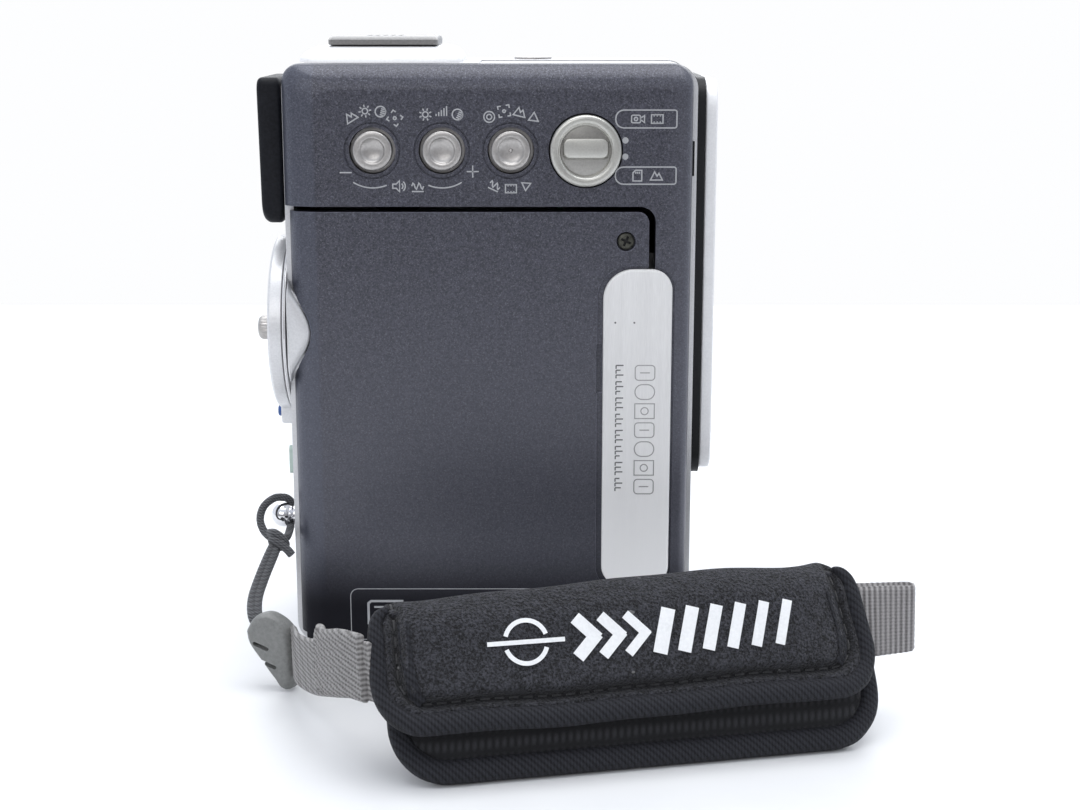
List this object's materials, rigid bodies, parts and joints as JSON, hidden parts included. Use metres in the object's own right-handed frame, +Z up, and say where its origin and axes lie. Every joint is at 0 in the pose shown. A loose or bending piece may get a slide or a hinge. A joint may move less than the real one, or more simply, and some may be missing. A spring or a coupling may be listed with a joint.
{
  "type": "camcorder",
  "caption": "Upright pocket tape camcorder with swing-out display, cassette door, sliding viewfinder, rear power dial, side buttons and a padded wrist strap.",
  "frame": {"origin": "centre of the base, on the plane the camcorder stands on", "axes": "+X towards the lens, -Y out of the cassette door, +Y out of the display, +Z up"},
  "size_m": [0.1281, 0.1213, 0.1271],
  "materials": {
    "aluminium": "machined",
    "black_plastic": "matte",
    "blue_plastic": "gloss",
    "board": "solder mask",
    "brass": "nickel over brass",
    "clear": "ribbed",
    "cord": "braided",
    "glass": "coated",
    "grey_plastic": "moulded",
    "lamp": "translucent",
    "pad_fabric": "knit faced foam",
    "paint": "fine metallic flake",
    "polished": "polished",
    "rubber": "matte",
    "satin_metal": "satin",
    "screen": "glossy",
    "silver": "satin silver lacquer",
    "steel": "zinc plated",
    "webbing": "ribbed weave",
    "white_plastic": "moulded"
  },
  "bodies": {
    "body": {"left_casing": "silver", "rear_casing": "silver", "front_casing": "silver", "side_housing": "paint", "hinge_pin": "steel", "base_plate": "aluminium", "chassis": "aluminium", "guide_deck": "steel", "main_board": "board", "casing_screws": "black_plastic", "tripod_socket": "brass", "front_panel": "black_plastic", "front_trim": "silver", "lens_barrel": "black_plastic", "lens_front_glass": "glass", "image_sensor": "board", "flash_window": "clear", "microphone_grille": "grey_plastic", "dial_base": "silver", "strap_post": "polished", "charge_lamp": "lamp", "socket_block": "black_plastic", "speaker": "black_plastic", "zoom_pedestal": "silver", "battery_pack": "black_plastic", "strap_cord": "cord", "strap_buckle": "grey_plastic", "strap_webbing": "webbing", "strap_pad_back": "pad_fabric", "strap_pad_front": "pad_fabric"},
    "cassette_door": {"cassette_cover": "paint", "grip_plate": "satin_metal", "cover_screw": "black_plastic", "cassette_tray": "grey_plastic", "tape_cassette": "black_plastic"},
    "drum": {"head_drum": "aluminium"},
    "supply": {"supply_reel": "white_plastic"},
    "takeup": {"takeup_reel": "white_plastic"},
    "viewfinder": {"viewfinder_tube": "black_plastic", "eyecup": "rubber", "eyepiece_lens": "glass", "viewfinder_display": "screen"},
    "diopter": {"diopter_lever": "grey_plastic"},
    "zoom_rocker": {"zoom_lever": "satin_metal"},
    "snapshot": {"snapshot_button": "satin_metal"},
    "minus": {"minus_button": "satin_metal"},
    "plus": {"plus_button": "satin_metal"},
    "focus": {"focus_button": "satin_metal"},
    "mode": {"mode_knob": "polished"},
    "dial": {"power_dial": "silver"},
    "record": {"record_button": "satin_metal"},
    "lock": {"lock_button": "blue_plastic"},
    "lcd_arm": {"lcd_hinge": "silver"},
    "lcd_panel": {"lcd_shell": "silver", "lcd_screen": "screen"},
    "menu": {"menu_button": "satin_metal"},
    "battery_flap": {"battery_door": "silver"},
    "socket_flap": {"socket_cover": "grey_plastic"},
    "zoom_optics": {"zoom_lens_group": "black_plastic"}
  },
  "joints": [
    {"name": "cassette_door_open", "type": "hinge", "parent": "body", "child": "cassette_door", "pos_m": [0, -0.0226, 0.0034], "axis": [1, 0, 0], "range_deg": [0, 35]},
    {"name": "drum_spin", "type": "hinge", "parent": "body", "child": "drum", "pos_m": [-0.003, -0.015, 0.025], "axis": [0, 1, 0], "continuous": true},
    {"name": "supply_spin", "type": "hinge", "parent": "body", "child": "supply", "pos_m": [-0.0196, -0.01, 0.066], "axis": [0, 1, 0], "continuous": true},
    {"name": "takeup_spin", "type": "hinge", "parent": "body", "child": "takeup", "pos_m": [0.0104, -0.01, 0.066], "axis": [0, 1, 0], "continuous": true},
    {"name": "viewfinder_slide", "type": "slide", "parent": "body", "child": "viewfinder", "axis": [-1, 0, 0], "range_m": [0, 0.018]},
    {"name": "diopter_slide", "type": "slide", "parent": "viewfinder", "child": "diopter", "axis": [0, 0, 1], "range_m": [-0.002, 0.002]},
    {"name": "zoom_slide", "type": "slide", "parent": "body", "child": "zoom_rocker", "axis": [1, 0, 0], "range_m": [-0.0025, 0.0025], "stiffness_N_per_m": 200},
    {"name": "snapshot_press", "type": "slide", "parent": "body", "child": "snapshot", "axis": [0, 0, -1], "range_m": [0, 0.0006], "stiffness_N_per_m": 400},
    {"name": "minus_press", "type": "slide", "parent": "body", "child": "minus", "axis": [0, 1, 0], "range_m": [0, 0.0006], "stiffness_N_per_m": 400},
    {"name": "plus_press", "type": "slide", "parent": "body", "child": "plus", "axis": [0, 1, 0], "range_m": [0, 0.0006], "stiffness_N_per_m": 400},
    {"name": "focus_press", "type": "slide", "parent": "body", "child": "focus", "axis": [0, 1, 0], "range_m": [0, 0.0006], "stiffness_N_per_m": 400},
    {"name": "mode_turn", "type": "hinge", "parent": "body", "child": "mode", "pos_m": [0.0186, -0.026, 0.1049], "axis": [0, -1, 0], "range_deg": [-30, 30]},
    {"name": "dial_turn", "type": "hinge", "parent": "body", "child": "dial", "pos_m": [-0.043, -0.008, 0.0674], "axis": [-1, 0, 0], "range_deg": [-40, 80]},
    {"name": "record_press", "type": "slide", "parent": "dial", "child": "record", "axis": [1, 0, 0], "range_m": [0, 0.001], "stiffness_N_per_m": 400},
    {"name": "lock_press", "type": "slide", "parent": "dial", "child": "lock", "axis": [1, 0, 0], "range_m": [0, 0.0008], "stiffness_N_per_m": 400},
    {"name": "lcd_tilt", "type": "hinge", "parent": "body", "child": "lcd_arm", "pos_m": [0.0365, 0.017, 0.085], "axis": [0, 1, 0], "range_deg": [-90, 180]},
    {"name": "lcd_swing", "type": "hinge", "parent": "lcd_arm", "child": "lcd_panel", "pos_m": [0.0365, 0.0217, 0.085], "axis": [0, 0, -1], "range_deg": [0, 90]},
    {"name": "menu_press", "type": "slide", "parent": "body", "child": "menu", "axis": [0, -1, 0], "range_m": [0, 0.0004], "stiffness_N_per_m": 400},
    {"name": "battery_door_open", "type": "hinge", "parent": "body", "child": "battery_flap", "pos_m": [-0.0415, 0.0075, 0.0052], "axis": [0, -1, 0], "range_deg": [0, 100]},
    {"name": "socket_cover_open", "type": "hinge", "parent": "body", "child": "socket_flap", "pos_m": [0.0402, -0.0187, 0.018], "axis": [0, 0, -1], "range_deg": [0, 100]},
    {"name": "zoom_optics_slide", "type": "slide", "parent": "body", "child": "zoom_optics", "axis": [1, 0, 0], "range_m": [-0.0015, 0.003]}
  ]
}
